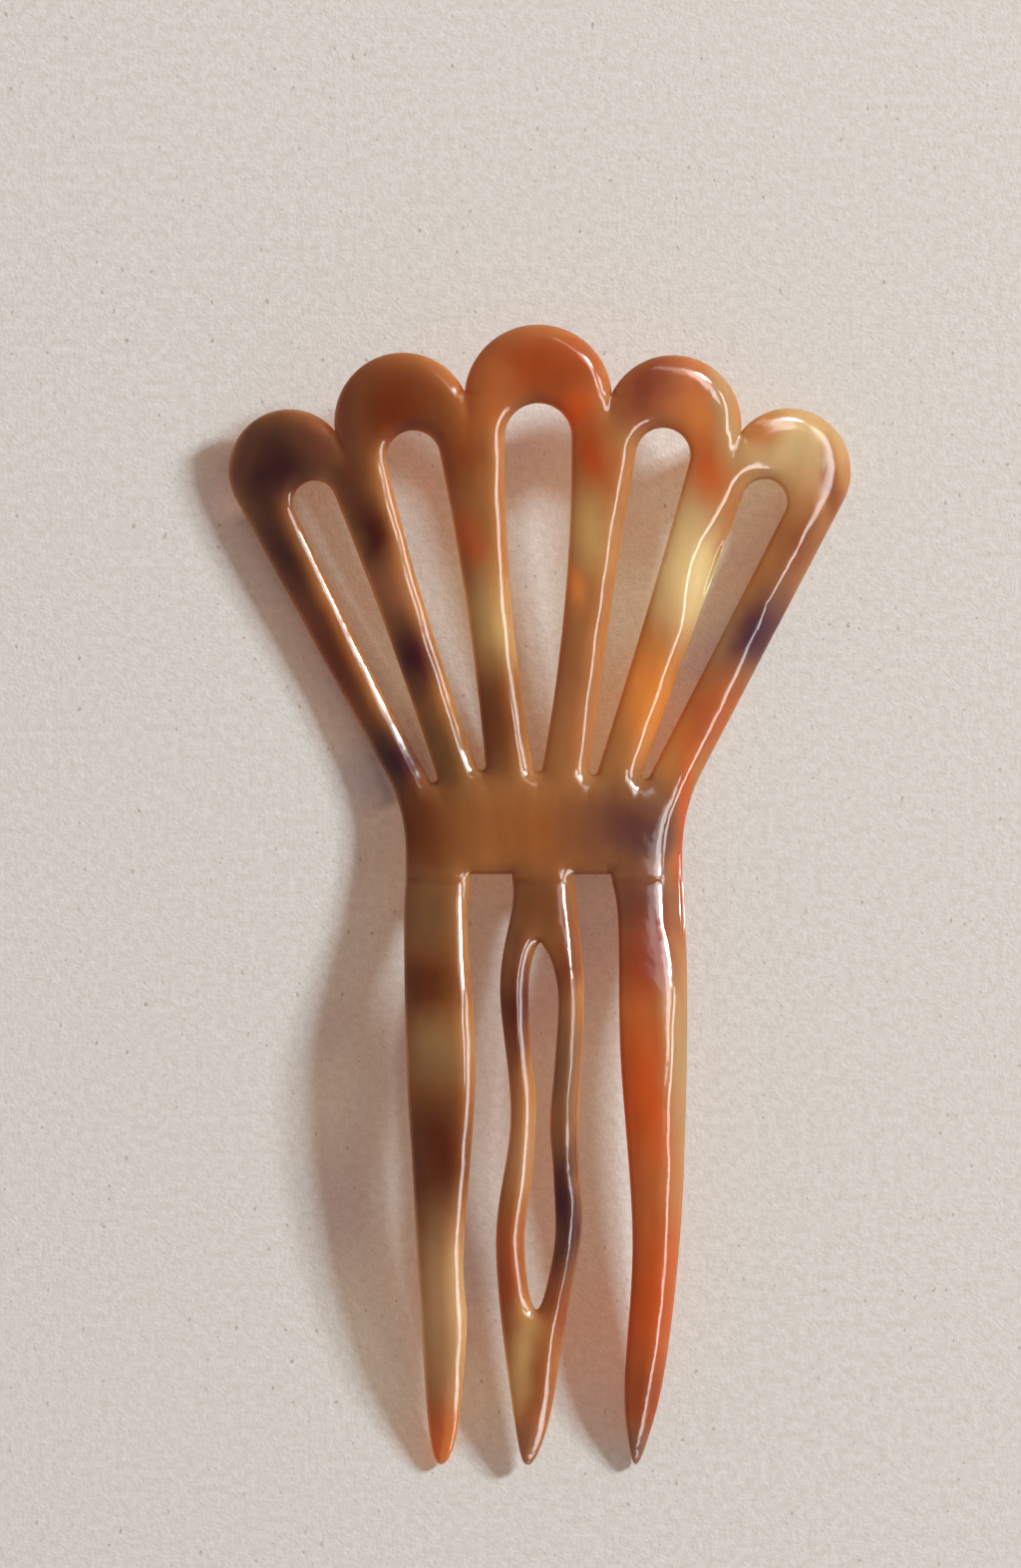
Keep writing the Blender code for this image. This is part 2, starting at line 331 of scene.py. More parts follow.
def prong_outline(left, right, down, tip, up):
    """From the right side of the root down to the tip, and back up to the left side."""
    tip_x = (left + right) / 2 + tip
    points = [*prong_points(down, left, tip_x), (tip_x, 0.0), *prong_points(up, right, tip_x)]
    return list(reversed(smooth(points)))


def outer_outline():
    points = fan_outline()
    for prong in reversed(PRONGS):
        edge = prong_outline(*prong)
        points += [*line(points[-1], edge[0])[1:], *edge]
    return points


def slit_outline():
    left, right, _, tip, _ = PRONGS[1]
    middle = (left + right) / 2
    points = prong_points(SLIT, middle, middle + tip)
    closed = smooth([points[-1], *points, points[0]])
    return closed[closed.index(points[0]):-1]


def outlines():
    return [outer_outline(), *[opening(index) for index in range(len(LOOPS))], slit_outline()]


# ------------------------------------------------------------------------------------------- section


def ease(share):
    share = np.clip(share, 0.0, 1.0)
    return share * share * (3 - 2 * share)


def soft_positive(values, softness):
    """max(0, value) with its corner rounded."""
    return softness * np.logaddexp(0.0, values / softness)


class Plan:
    """Every outline as one set of edges, with what is needed to measure from them."""

    def __init__(self, loops):
        self.points = np.array([point for loop in loops for point in loop])
        self.next = np.empty(len(self.points), int)
        self.back = np.empty(len(self.points), int)
        start = 0
        for loop in loops:
            order = np.arange(start, start + len(loop))
            self.next[order] = np.roll(order, -1)
            self.back[order] = np.roll(order, 1)
            start += len(loop)
        self.tree = KDTree(len(self.points))
        for index, (x, y) in enumerate(self.points):
            self.tree.insert((x, y, 0.0), index)
        self.tree.balance()
        self.normals, self.turned = self.inward()

    def edges(self):
        return [(a, int(b)) for a, b in enumerate(self.next)]

    def inward(self):
        """The direction into the material at each outline point, and where that is left of the edge."""
        along = self.points[self.next] - self.points[self.back]
        along /= np.linalg.norm(along, axis=1)[:, None]
        right = np.stack([along[:, 1], -along[:, 0]], axis=1)
        turned = ~self.inside(self.points + SIDE_TEST_STEP * right)
        return np.where(turned[:, None], -right, right), turned

    def inside(self, points):
        """Whether each point is in the material, by counting the edges that a ray crosses."""
        a = self.points
        b = self.points[self.next]
        found = np.zeros(len(points), bool)
        for start in range(0, len(points), POINTS_AT_ONCE):
            some = slice(start, start + POINTS_AT_ONCE)
            x = points[some, 0][:, None]
            y = points[some, 1][:, None]
            spans = (a[:, 1] > y) != (b[:, 1] > y)
            rise = np.where(b[:, 1] == a[:, 1], 1.0, b[:, 1] - a[:, 1])
            meets = x < (b[:, 0] - a[:, 0]) * (y - a[:, 1]) / rise + a[:, 0]
            found[some] = (spans & meets).sum(axis=1) % 2 == 1
        return found

    def distance(self, points):
        """Each point's distance from the nearest outline, and that outline point's index."""
        nearest = np.array([self.tree.find((x, y, 0.0))[1] for x, y in points])
        near = self.points[nearest]
        best = np.linalg.norm(points - near, axis=1)
        for other in (self.next[nearest], self.back[nearest]):
            along = self.points[other] - near
            share = ((points - near) * along).sum(axis=1) / (along ** 2).sum(axis=1)
            foot = near + np.clip(share, 0.0, 1.0)[:, None] * along
            best = np.minimum(best, np.linalg.norm(points - foot, axis=1))
        return best, nearest


def facet_widths(points):
    widths = np.full(len(points), FACET_WIDTH)
    for x, y, reach, width in FACETS:
        share = ease(1.0 - np.hypot(points[:, 0] - x, points[:, 1] - y) / reach)
        widths += share * (width - widths)
    wobble = [noise.noise(Vector((x / WOBBLE_SIZE, y / WOBBLE_SIZE, WOBBLE_LAYER))) for x, y in points]
    return widths * (1.0 + CARVING_WOBBLE * np.array(wobble))


def creases():
    """The carved V creases: where each starts, its direction and its length."""
    found = []
    for cusp in notches():
        direction = np.array([0.0, FOCUS_Y]) - cusp
        found.append((cusp, direction / np.linalg.norm(direction), NOTCH_CREASE))
    for index in range(len(LOOPS)):
        axis, _, tip = opening_ends(index)
        found.append((tip, np.array([-math.sin(axis), -math.cos(axis)]), OPENING_CREASE))
    return found


def along_and_across(points, start, direction):
    offset = points - np.array(start)
    return offset @ direction, np.abs(offset @ np.array([direction[1], -direction[0]]))


def with_creases(points, distance, width):
    """The distance from the edge, where a crease counts as an edge that fades out along its length."""
    for start, direction, length in creases():
        along, across = along_and_across(points, start, direction)
        from_crease = across + (width + CREASE_FADE) * np.clip(along / length, 0.0, 1.0)
        distance = np.where(along > 0.0, np.minimum(distance, from_crease), distance)
    return distance


def crease_points():
    """A finer grid over each crease."""
    found = []
    steps = np.arange(-CREASE_REACH, CREASE_REACH, EDGE_SPACING)
    for start, direction, length in creases():
        across = np.array([direction[1], -direction[0]])
        for along in np.arange(EDGE_SPACING, length, EDGE_SPACING):
            found += [start + along * direction + step * across for step in steps]
    return np.array(found)


def near_crease(points):
    """Whether each point is in a finer grid."""
    near = np.zeros(len(points), bool)
    for start, direction, length in creases():
        along, across = along_and_across(points, start, direction)
        near |= (along > 0.0) & (along < length) & (across < CREASE_REACH + EDGE_SPACING)
    return near


def thickness(points):
    share = TIP_THICKNESS / THICKNESS
    return THICKNESS * (share + (1 - share) * ease(points[:, 1] / THINNING_LENGTH))


def shoulder_drop(points):
    """The prongs' face starts a little lower than the band's, and the step runs out down the prong."""
    below = PRONG_LENGTH - SHOULDER_BELOW_ROOT - points[:, 1]
    return SHOULDER_STEP * ease(below / SHOULDER_STEP_LENGTH) * (1 - ease(below / SHOULDER_RUNOUT))


def edge_round(distance, radius):
    """The drop of a rounded edge at this distance from it."""
    share = np.clip(1.0 - distance / radius, 0.0, 1.0)
    return radius * (1.0 - np.sqrt(1.0 - share * share))


def facet_slopes(normals):
    """How steeply the facet falls: less on the left sides of the bars, whose inward normals point right."""
    return RIGHT_SLOPE + (LEFT_SLOPE - RIGHT_SLOPE) * (1 + normals[:, 0]) / 2


def section(points, distance, width, slope):
    """The heights of the face and the back above the plate's middle."""
    full = thickness(points)
    scale = full / THICKNESS
    creased = with_creases(points, distance, width)
    drop = soft_positive((width - creased) * slope, RIDGE_SOFTNESS)
    drop = drop + edge_round(distance, TOP_EDGE_ROUND) + shoulder_drop(points)
    face = full / 2 - drop * scale
    back = -full / 2 + edge_round(distance, BACK_EDGE_ROUND) * scale
    return np.maximum(face, back + LEAST_WALL * scale), back


# ----------------------------------------------------------------------------------------------- bend


def arch(y):
    crest_share = (CREST_Y - y) / CREST_Y
    prong = CREST_LIFT + (TIP_LIFT - CREST_LIFT) * crest_share ** 2
    down = CREST_LIFT + (VALLEY_LIFT - CREST_LIFT) * ease((y - CREST_Y) / (VALLEY_Y - CREST_Y))
    up = VALLEY_LIFT + (FAN_TOP_LIFT - VALLEY_LIFT) * ease((y - VALLEY_Y) / (FAN_TOP - VALLEY_Y))
    return np.where(y < CREST_Y, prong, np.where(y < VALLEY_Y, down, up))


def bent(points, height):
    """Each plan point at its height above the bent middle surface."""
    x, y = points[:, 0], points[:, 1]
    return np.stack([x, y, arch(y) - x * x / (2 * BOW_RADIUS) + height], axis=1)


def place_in_frame():
    """What moves the plan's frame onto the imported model's, from the places of its nodes."""
    low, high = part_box("loop_centre")
    tips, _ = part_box("prong_left")
    return np.array([(low.x + high.x) / 2, tips.y, high.z - (FAN_TOP_LIFT + THICKNESS / 2) * MM])


# ------------------------------------------------------------------------------------------------ mesh


def plan_points(plan):
    """The outline's points, rings inside it, and a grid that fills the rest."""
    widths = facet_widths(plan.points)
    rings = []
    for share in RING_SHARES:
        reach = share * widths
        ring = plan.points + plan.normals * reach[:, None]
        distance, _ = plan.distance(ring)
        rings.append(ring[(distance > RING_CLEARANCE * reach) & plan.inside(ring) & ~near_crease(ring)])
    low = plan.points.min(axis=0)
    high = plan.points.max(axis=0)
    xs = np.arange(low[0], high[0], GRID_SPACING)
    ys = np.arange(low[1], high[1], GRID_SPACING * GRID_ROW_SHARE)
    grid = np.array([(x + (row % 2) * GRID_SPACING / 2, y) for row, y in enumerate(ys) for x in xs])
    grid = grid[plan.inside(grid) & ~near_crease(grid)]
    distance, nearest = plan.distance(grid)
    rings.append(grid[distance > (RING_SHARES[-1] + GRID_MARGIN) * widths[nearest]])
    fine = crease_points()
    fine = fine[plan.inside(fine)]
    distance, _ = plan.distance(fine)
    rings.append(fine[distance > EDGE_SPACING])
    return np.concatenate([plan.points, *rings]), widths


def triangulated(plan):
    """Points and triangles that fill the material, where each outline point is, and its facet's width."""
    points, widths = plan_points(plan)
    vectors = [Vector(point) for point in points]
    found, _, faces, origins, _, _ = delaunay_2d_cdt(vectors, plan.edges(), [], 0, SAME_POINT)
    points = np.array([tuple(point) for point in found])
    faces = np.array([list(face) for face in faces])
    faces = faces[plan.inside(points[faces].mean(axis=1))]
    new_index = {old: new for new, olds in enumerate(origins) for old in olds}
    ring = np.array([new_index[index] for index in range(len(plan.points))])
    return points, faces, ring, widths


def edge_walls(plan, rim, count):
    """The wall along every outline. The back's points come count after the face's."""
    walls = []
    for start, end in plan.edges():
        a, b = rim[start], rim[end]
        wall = (b, a, a + count, b + count)
        walls.append(wall if plan.turned[start] else wall[::-1])
    return walls


def comb_mesh():
    """The face and the back, which share one set of triangles, and the walls between them."""
    plan = Plan(outlines())
    points, faces, ring, widths = triangulated(plan)
    distance, nearest = plan.distance(points)
    distance[ring] = 0.0
    slopes = facet_slopes(plan.normals)
    face_height, back_height = section(points, distance, widths[nearest], slopes[nearest])
    used = np.unique(faces)
    place = {old: new for new, old in enumerate(used)}
    faces = np.array([[place[corner] for corner in face] for face in faces])
    top = bent(points[used], face_height[used])
    bottom = bent(points[used], back_height[used])
    below = [tuple(reversed(face)) for face in (faces + len(used)).tolist()]
    walls = edge_walls(plan, [place[index] for index in ring], len(used))
    mesh = bpy.data.meshes.new("comb")
    vertices = np.concatenate([top, bottom]) * MM + place_in_frame()
    mesh.from_pydata(vertices.tolist(), [], [*map(tuple, faces.tolist()), *below, *walls])
    mesh.validate()
    mesh.shade_smooth()
    return mesh


# ------------------------------------------------------------------------------------------ material

# The mottle, laid over a tan ground in this order: X and Y of each patch's middle, its reach across and
# along, its turn in degrees, and its colour in sRGB. Millimetres, in the plan's frame.
GROUND = (172, 122, 72)
PATCHES = (
    (-30.0, 114.0, 5.5, 7.0, -20, (100, 46, 44)),
    (-25.5, 117.0, 3.0, 3.5, 0, (150, 92, 66)),
    (-34.0, 114.0, 1.5, 7.0, -10, (140, 86, 64)),
    (-29.0, 104.0, 3.5, 8.0, 25, (108, 58, 40)),
    (-24.0, 92.5, 3.5, 11.0, 28, (140, 74, 40)),
    (-16.0, 80.5, 3.5, 6.5, 25, (88, 46, 52)),
    (-16.5, 121.0, 8.5, 6.5, 0, (146, 68, 26)),
    (-22.0, 121.0, 2.0, 7.0, 0, (158, 98, 56)),
    (-21.5, 113.0, 3.0, 5.5, 10, (146, 86, 52)),
    (-19.0, 106.5, 2.5, 5.0, 15, (108, 44, 22)),
    (-16.5, 100.0, 3.0, 4.5, 20, (180, 130, 88)),
    (-14.0, 92.0, 3.0, 6.0, 20, (92, 34, 40)),
    (-10.0, 82.0, 3.5, 6.0, 20, (138, 98, 58)),
    (-9.0, 116.0, 3.5, 7.0, 0, (162, 92, 44)),
    (-7.5, 105.5, 2.0, 4.5, 10, (190, 108, 56)),
    (-5.5, 96.5, 3.5, 7.5, 6, (192, 166, 112)),
    (-4.5, 85.0, 4.0, 8.0, 4, (134, 80, 42)),
    (0.5, 125.0, 10.5, 5.5, 0, (168, 82, 34)),
    (-6.0, 122.0, 3.5, 5.5, -20, (190, 118, 64)),
    (4.0, 120.5, 3.5, 3.5, 20, (204, 98, 38)),
    (6.0, 115.0, 3.0, 6.0, 0, (180, 88, 36)),
    (5.5, 107.0, 3.5, 6.0, 0, (194, 162, 104)),
    (4.0, 100.0, 1.5, 3.5, 5, (222, 150, 80)),
    (4.0, 88.0, 3.5, 12.5, 5, (168, 116, 72)),
    (16.0, 122.5, 9.0, 5.5, 0, (182, 114, 70)),
    (12.5, 123.0, 3.5, 6.0, -30, (136, 72, 46)),
    (18.0, 119.0, 3.5, 3.5, 0, (194, 124, 62)),
    (21.5, 121.5, 2.0, 7.0, 15, (166, 136, 96)),
    (19.0, 113.5, 3.0, 4.5, 10, (186, 98, 42)),
    (17.0, 103.0, 5.5, 11.5, 12, (208, 190, 142)),
    (13.0, 88.0, 5.0, 10.0, 15, (204, 138, 66)),
    (29.0, 116.5, 8.5, 6.0, 0, (190, 168, 122)),
    (25.5, 118.5, 3.5, 3.0, -40, (180, 122, 66)),
    (34.0, 111.5, 1.5, 6.0, 10, (142, 84, 44)),
    (30.0, 105.5, 3.5, 6.0, -20, (142, 86, 52)),
    (25.0, 95.5, 4.5, 8.0, -28, (84, 44, 58)),
    (19.5, 86.0, 4.5, 7.0, -35, (170, 96, 52)),
    (-13.5, 72.5, 6.5, 7.5, 0, (124, 64, 26)),
    (0.0, 72.5, 12.0, 6.0, 0, (160, 100, 50)),
    (11.5, 72.5, 9.5, 6.5, 0, (104, 62, 54)),
    (17.0, 73.0, 1.5, 12.5, 0, (184, 92, 40)),
    (-12.5, 63.0, 5.5, 6.0, 0, (136, 96, 60)),
    (-12.5, 55.0, 5.5, 6.0, 0, (116, 60, 24)),
    (-11.5, 47.5, 5.5, 5.0, 0, (166, 132, 88)),
    (-11.5, 36.0, 6.5, 11.5, 0, (112, 54, 26)),
    (-11.0, 18.0, 5.5, 12.5, 0, (194, 164, 122)),
    (-11.0, 2.0, 4.5, 7.0, 0, (196, 124, 66)),
    (0.5, 64.5, 6.5, 6.0, 0, (130, 80, 45)),
    (-2.5, 53.0, 3.0, 11.0, 0, (98, 44, 36)),
    (-2.0, 36.0, 3.0, 8.0, 0, (178, 138, 98)),
    (-3.0, 22.0, 3.5, 10.0, 0, (164, 94, 50)),
    (3.5, 57.5, 2.5, 7.5, 0, (130, 74, 44)),
    (3.5, 45.5, 2.5, 10.0, 0, (134, 98, 70)),
    (3.5, 29.5, 3.0, 12.0, 0, (82, 46, 50)),
    (2.5, 18.0, 3.0, 5.5, 0, (146, 82, 52)),
    (-2.0, 11.5, 2.5, 8.0, 0, (206, 176, 118)),
    (0.5, 9.5, 2.5, 8.0, 0, (158, 100, 56)),
    (-1.0, 2.0, 2.5, 3.5, 0, (152, 114, 84)),
    (12.0, 64.5, 6.5, 5.0, 0, (118, 68, 54)),
    (12.5, 58.0, 6.0, 6.5, 0, (138, 58, 34)),
    (11.5, 43.0, 5.5, 15.0, 0, (184, 88, 32)),
    (16.5, 44.5, 2.5, 16.5, 0, (168, 140, 98)),
    (12.5, 19.0, 6.5, 16.5, 0, (180, 88, 36)),
    (12.0, 7.5, 4.5, 7.0, 0, (152, 80, 38)),
    (11.5, 1.0, 2.5, 3.5, 0, (128, 100, 84)),
)
MOTTLE_WARP = 2.2
MOTTLE_WARP_SIZE = 9.0
PATCH_SOFTNESS = 0.95
PATCH_REACH = 1.28

# The comb's noises, whose sizes and depths are in millimetres
FIBRE_SIZE = 2.0
FIBRE_STRETCH = (1.0, 0.25, 1.0)
FIBRE_SHADE = (1.04, 1.22)
WEAR_SIZE = 6.0
WORN_ROUGHNESS = (0.07, 0.2)
CARVING_SIZE = 3.5
CARVING_DEPTH = 0.08
SCRATCH_SIZE = 0.5
SCRATCH_STRETCH = (1.0, 0.12, 1.0)
SCRATCH_DEPTH = 0.006

# How light goes into the comb, glows through it, and shines on to the paper behind it
HORN_IOR = 1.52
DEPTH_SHARE = 0.9
DEPTH_RADIUS = (1.0, 0.45, 0.2)
DEPTH_MM = 5.0
GLOW_SHARE = 0.35
LAMP_TINT = 0.42
SMOKE = (0.6, 0.5, 0.46, 1.0)
SMOKE_SHARE = 0.5

PAPER_LIGHT = (214, 209, 204)
PAPER_DARK = (205, 199, 192)
# Colour of the painted shade in the paper's small pits; the pits have no relief of their own
PAPER_PIT_SHADE = (130, 112, 96)
PAPER_ROUGHNESS = 0.9
PAPER_GLOSS = 0.05
FLECK_SIZE = 0.9
PIT_SHADE_SIZE = 0.7
PIT_SHADE_STRETCH = (1.0, 0.6, 1.0)
TOOTH_SIZE = 0.4
TOOTH_DEPTH = 0.07


def linear(colour):
    """An sRGB colour of 0 to 255 as linear RGBA."""
    values = [channel / 255 for channel in colour]
    return (*[v / 12.92 if v <= 0.04045 else ((v + 0.055) / 1.055) ** 2.4 for v in values], 1.0)


class Nodes:
    """A material's node tree, with short ways to add to it."""

    def __init__(self, name):
        self.material = bpy.data.materials.new(name)
        self.material.use_nodes = True
        self.tree = self.material.node_tree
        self.shader = self.tree.nodes["Principled BSDF"]
        self.output = self.tree.nodes["Material Output"]
        self.place = self.add("ShaderNodeTexCoord").outputs["Object"]

    def add(self, kind, **settings):
        node = self.tree.nodes.new(kind)
        for name, value in settings.items():
            setattr(node, name, value)
        return node

    def link(self, source, target):
        self.tree.links.new(source, target)

    def noise(self, feature_mm, detail=2.0, roughness=0.5, stretch=None):
        """Noise whose features are about this many millimetres across."""
        texture = self.add("ShaderNodeTexNoise")
        texture.inputs["Scale"].default_value = 1.0 / (feature_mm * MM)
        texture.inputs["Detail"].default_value = detail
        texture.inputs["Roughness"].default_value = roughness
        source = self.place
        if stretch:
            mapping = self.add("ShaderNodeMapping")
            mapping.inputs["Scale"].default_value = stretch
            self.link(source, mapping.inputs["Vector"])
            source = mapping.outputs["Vector"]
        self.link(source, texture.inputs["Vector"])
        return texture

    def mix(self, factor, first, second, blend_type="MIX"):
        """Two colours mixed. A socket is linked, and anything else is set."""
        node = self.add("ShaderNodeMix", data_type="RGBA", blend_type=blend_type)
        # A Mix node's factor is input 0, and its two colours are inputs 6 and 7
        for value, socket in ((factor, node.inputs[0]), (first, node.inputs[6]), (second, node.inputs[7])):
            if isinstance(value, bpy.types.NodeSocket):
                self.link(value, socket)
            else:
                socket.default_value = value
        return node.outputs[2]

    def remap(self, value, low, high, smooth_step=False):
        node = self.add("ShaderNodeMapRange")
        if smooth_step:
            node.interpolation_type = "SMOOTHSTEP"
        self.link(value, node.inputs["Value"])
        for name, number in zip(("From Min", "From Max", "To Min", "To Max"), (*low, *high)):
            node.inputs[name].default_value = number
        return node.outputs["Result"]

    def bump(self, height, distance_mm, base=None):
        node = self.add("ShaderNodeBump")
        node.inputs["Strength"].default_value = 1.0
        node.inputs["Distance"].default_value = distance_mm * MM
        self.link(height, node.inputs["Height"])
        if base:
            self.link(base, node.inputs["Normal"])
        return node.outputs["Normal"]


def warped_place(nodes):
    """The object's coordinates, pushed about by soft noise so that the patches' edges wander."""
    push = nodes.noise(MOTTLE_WARP_SIZE, detail=3.0)
    centred = nodes.add("ShaderNodeVectorMath", operation="SUBTRACT")
    centred.inputs[1].default_value = (0.5, 0.5, 0.5)
    nodes.link(push.outputs["Color"], centred.inputs[0])
    scaled = nodes.add("ShaderNodeVectorMath", operation="MULTIPLY_ADD")
    scaled.inputs[1].default_value = (2 * MOTTLE_WARP * MM, 2 * MOTTLE_WARP * MM, 0.0)
    nodes.link(centred.outputs[0], scaled.inputs[0])
    nodes.link(nodes.place, scaled.inputs[2])
    return scaled.outputs[0]


def mottle(nodes):
    """The patches of colour, each a soft ellipse mixed over those before it."""
    origin = place_in_frame()
    place = warped_place(nodes)
    colour = linear(GROUND)
    for x, y, across, along, turn, patch in PATCHES:
        mapping = nodes.add("ShaderNodeMapping", vector_type="TEXTURE")
        mapping.inputs["Location"].default_value = (origin[0] + x * MM, origin[1] + y * MM, 0.0)
        mapping.inputs["Rotation"].default_value = (0.0, 0.0, math.radians(turn))
        mapping.inputs["Scale"].default_value = (PATCH_REACH * across * MM, PATCH_REACH * along * MM, 1.0)
        nodes.link(place, mapping.inputs["Vector"])
        gradient = nodes.add("ShaderNodeTexGradient", gradient_type="SPHERICAL")
        nodes.link(mapping.outputs["Vector"], gradient.inputs["Vector"])
        share = nodes.remap(gradient.outputs["Fac"], (0.0, PATCH_SOFTNESS), (0.0, 1.0), smooth_step=True)
        colour = nodes.mix(share, colour, linear(patch))
    return colour


def comb_colour(nodes):
    """The mottle, with a fine fibre along the comb."""
    fibre = nodes.noise(FIBRE_SIZE, detail=3.0, stretch=FIBRE_STRETCH).outputs["Fac"]
    shade = nodes.remap(fibre, (0.25, 0.75), FIBRE_SHADE)
    return nodes.mix(1.0, mottle(nodes), shade, blend_type="MULTIPLY")


def polish(nodes, colour):
    """The glossy surface, with light going into it, worn places, and marks of carving and scratches."""
    shader = nodes.shader
    nodes.link(colour, shader.inputs["Base Color"])
    shader.inputs["IOR"].default_value = HORN_IOR
    shader.inputs["Subsurface Weight"].default_value = DEPTH_SHARE
    shader.inputs["Subsurface Radius"].default_value = DEPTH_RADIUS
    shader.inputs["Subsurface Scale"].default_value = DEPTH_MM * MM
    worn = nodes.noise(WEAR_SIZE, detail=5.0, roughness=0.65).outputs["Fac"]
    nodes.link(nodes.remap(worn, (0.3, 0.75), WORN_ROUGHNESS), shader.inputs["Roughness"])
    carving = nodes.noise(CARVING_SIZE, detail=2.0).outputs["Fac"]
    scratches = nodes.noise(SCRATCH_SIZE, detail=3.0, stretch=SCRATCH_STRETCH).outputs["Fac"]
    relief = nodes.bump(scratches, SCRATCH_DEPTH, base=nodes.bump(carving, CARVING_DEPTH))
    nodes.link(relief, shader.inputs["Normal"])


def blend(nodes, share, first, second):
    """A Mix Shader of two shaders. Its share is a number or a socket."""
    mixed = nodes.add("ShaderNodeMixShader")
    if isinstance(share, bpy.types.NodeSocket):
        nodes.link(share, mixed.inputs[0])
    else:
        mixed.inputs[0].default_value = share
    nodes.link(first.outputs[0], mixed.inputs[1])
    nodes.link(second.outputs[0], mixed.inputs[2])
    return mixed


def comb_material():
    """Polished horn-like plastic: light goes into it, and lamps shine through it in its own colour."""
    nodes = Nodes("mottled_horn")
    colour = comb_colour(nodes)
    polish(nodes, colour)
    glow = nodes.add("ShaderNodeBsdfTranslucent")
    nodes.link(colour, glow.inputs["Color"])
    body = blend(nodes, GLOW_SHARE, nodes.shader, glow)
    tint = nodes.add("ShaderNodeGamma")
    tint.inputs["Gamma"].default_value = LAMP_TINT
    nodes.link(colour, tint.inputs["Color"])
    through = nodes.add("ShaderNodeBsdfTransparent")
    nodes.link(nodes.mix(SMOKE_SHARE, tint.outputs["Color"], SMOKE), through.inputs["Color"])
    lamp_ray = nodes.add("ShaderNodeLightPath").outputs["Is Shadow Ray"]
    nodes.link(blend(nodes, lamp_ray, body, through).outputs[0], nodes.output.inputs["Surface"])
    return nodes.material


def paper_material():
    """Plain pale paper with a fine tooth, faint flecks, and a few dark spots of painted shade that stand
    for small pits.
    """
    nodes = Nodes("paper")
    shader = nodes.shader
    flecks = nodes.noise(FLECK_SIZE, detail=2.0).outputs["Fac"]
    fleck_share = nodes.remap(flecks, (0.35, 0.65), (0.0, 1.0))
    ground = nodes.mix(fleck_share, linear(PAPER_LIGHT), linear(PAPER_DARK))
    # Painted shade: sparse dark spots mixed into the paper's colour stand for the shade inside small pits
    pit_shade_noise = nodes.noise(PIT_SHADE_SIZE, detail=1.0, stretch=PIT_SHADE_STRETCH).outputs["Fac"]
    pit_shade_share = nodes.remap(pit_shade_noise, (0.72, 0.78), (0.0, 0.5))
    nodes.link(nodes.mix(pit_shade_share, ground, linear(PAPER_PIT_SHADE)), shader.inputs["Base Color"])
    shader.inputs["Roughness"].default_value = PAPER_ROUGHNESS
    shader.inputs["Specular IOR Level"].default_value = PAPER_GLOSS
    tooth = nodes.noise(TOOTH_SIZE, detail=3.0, roughness=0.6).outputs["Fac"]
    nodes.link(nodes.bump(tooth, TOOTH_DEPTH), shader.inputs["Normal"])
    return nodes.material


# --------------------------------------------------------------------------------------------- studio

# Lengths in metres, turns and rises in degrees from the comb's middle, and powers in watts
FLOOR_SIZE = 6.0
KEY_TURN = 27.0
KEY_RISE = 32.0
KEY_DISTANCE = 3.0
KEY_POWER = 135.0
KEY_COLOUR = (1.0, 0.98, 0.95)
PANE = (0.19, 0.25)
PANE_GAP = 0.045

# The room's light is even in directions that rise less than FADE_FROM, and fades to its share at FADE_TO
ROOM_LIGHT = 0.40
ROOM_COLOUR = (0.97, 0.98, 1.0, 1.0)
ZENITH_SHARE = 0.35
FADE_FROM = 0.2
FADE_TO = 0.9

# Lamps seen only in the gloss: turn, rise, width, height and power
STRIP_DISTANCE = 1.6
STRIPS = (
    (-20.0, 23.0, 2.0, 0.35, 34.0),
    (15.0, 45.0, 0.9, 0.36, 15.0),
    (42.0, 54.0, 1.1, 0.28, 4.5),
)

# The camera looks straight down. Its centre and its sensor are in millimetres.
CAMERA_CENTRE = (-3.36, 12.86)
CAMERA_HEIGHT = 1.6
SEEN_HEIGHT = 0.1797
SENSOR = 36.0


def aim(obj, target):
    obj.rotation_euler = (Vector(target) - obj.location).to_track_quat("-Z", "Y").to_euler()


def from_turn(turn, rise, distance):
    turn, rise = math.radians(turn), math.radians(rise)
    level = distance * math.cos(rise)
    return Vector((level * math.cos(turn), level * math.sin(turn), distance * math.sin(rise)))


def area_light(name, place, size, power, colour=(1.0, 1.0, 1.0)):
    data = bpy.data.lights.new(name, "AREA")
    data.shape = "RECTANGLE"
    data.size, data.size_y = size
    data.energy = power
    data.color = colour
    light = bpy.data.objects.new(name, data)
    bpy.context.scene.collection.objects.link(light)
    light.location = place
    aim(light, (0.0, 0.0, 0.0))
    return light


def window():
    """The key light: four panes of one window, low on the right."""
    centre = from_turn(KEY_TURN, KEY_RISE, KEY_DISTANCE)
    away = centre.normalized()
    right = Vector((0.0, 0.0, 1.0)).cross(away).normalized()
    up = away.cross(right)
    for column in (-0.5, 0.5):
        for row in (-0.5, 0.5):
            place = centre + right * column * (PANE[0] + PANE_GAP) + up * row * (PANE[1] + PANE_GAP)
            area_light(f"pane_{column}_{row}", place, PANE, KEY_POWER / 4, KEY_COLOUR)


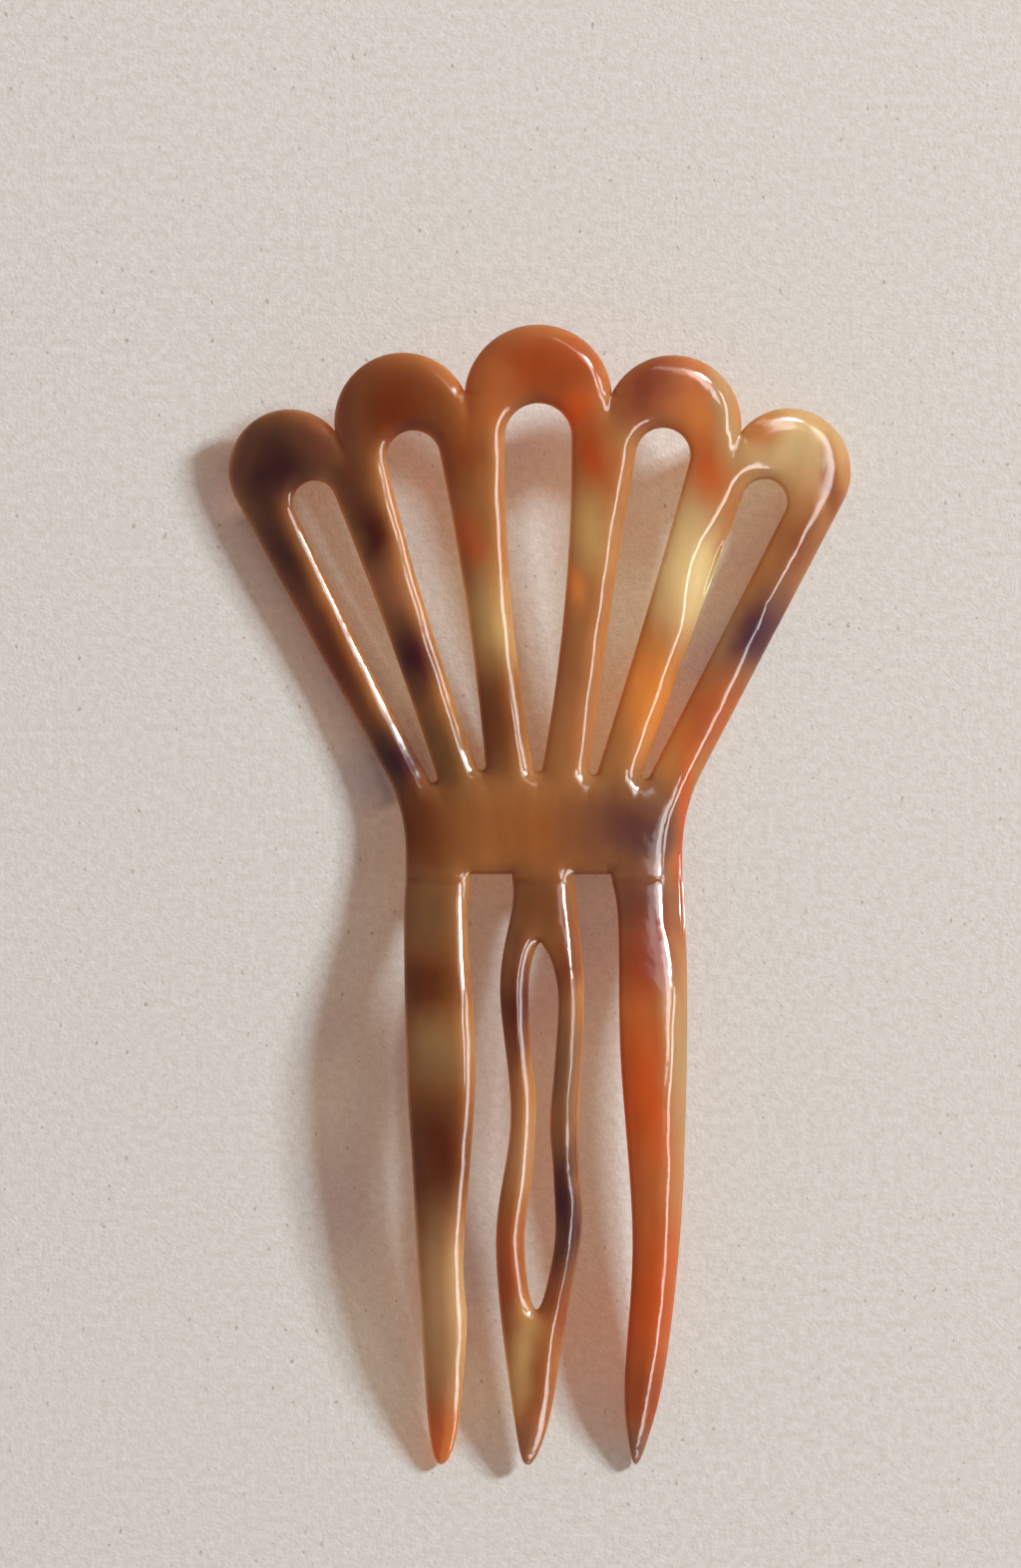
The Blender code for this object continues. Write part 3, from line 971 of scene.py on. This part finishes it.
def highlights():
    """Lamps that only the gloss shows, so that every ridge on the right catches a line of light."""
    for turn, rise, width, height, power in STRIPS:
        place = from_turn(turn, rise, STRIP_DISTANCE)
        strip = area_light(f"strip_{rise:.0f}", place, (width, height), power)
        strip.data.use_shadow = False
        strip.visible_diffuse = False


def room():
    """Even light from all round, dimmer overhead."""
    world = bpy.data.worlds.new("room")
    world.use_nodes = True
    tree = world.node_tree
    place = tree.nodes.new("ShaderNodeTexCoord")
    split = tree.nodes.new("ShaderNodeSeparateXYZ")
    fade = tree.nodes.new("ShaderNodeMapRange")
    fade.inputs["From Min"].default_value = FADE_FROM
    fade.inputs["From Max"].default_value = FADE_TO
    fade.inputs["To Min"].default_value = ROOM_LIGHT
    fade.inputs["To Max"].default_value = ROOM_LIGHT * ZENITH_SHARE
    tree.links.new(place.outputs["Generated"], split.inputs["Vector"])
    tree.links.new(split.outputs["Z"], fade.inputs["Value"])
    background = tree.nodes["Background"]
    background.inputs["Color"].default_value = ROOM_COLOUR
    tree.links.new(fade.outputs["Result"], background.inputs["Strength"])
    bpy.context.scene.world = world


def studio():
    window()
    highlights()
    room()
    bpy.context.scene.view_settings.view_transform = "Standard"


def camera():
    data = bpy.data.cameras.new("camera")
    data.sensor_width = SENSOR
    data.lens = SENSOR * CAMERA_HEIGHT / SEEN_HEIGHT
    data.clip_start = 0.01
    viewer = bpy.data.objects.new("camera", data)
    bpy.context.scene.collection.objects.link(viewer)
    viewer.location = (CAMERA_CENTRE[0] * MM, CAMERA_CENTRE[1] * MM, CAMERA_HEIGHT)
    bpy.context.scene.camera = viewer


def floor():
    half = FLOOR_SIZE / 2
    mesh = bpy.data.meshes.new("floor")
    corners = [(-half, -half, 0.0), (half, -half, 0.0), (half, half, 0.0), (-half, half, 0.0)]
    mesh.from_pydata(corners, [], [(0, 1, 2, 3)])
    mesh.materials.append(paper_material())
    floor = bpy.data.objects.new("floor", mesh)
    bpy.context.scene.collection.objects.link(floor)


def comb():
    mesh = comb_mesh()
    mesh.materials.append(comb_material())
    comb = bpy.data.objects.new("comb", mesh)
    bpy.context.scene.collection.objects.link(comb)
    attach(comb, "root")
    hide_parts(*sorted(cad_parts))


comb()
floor()
studio()
camera()
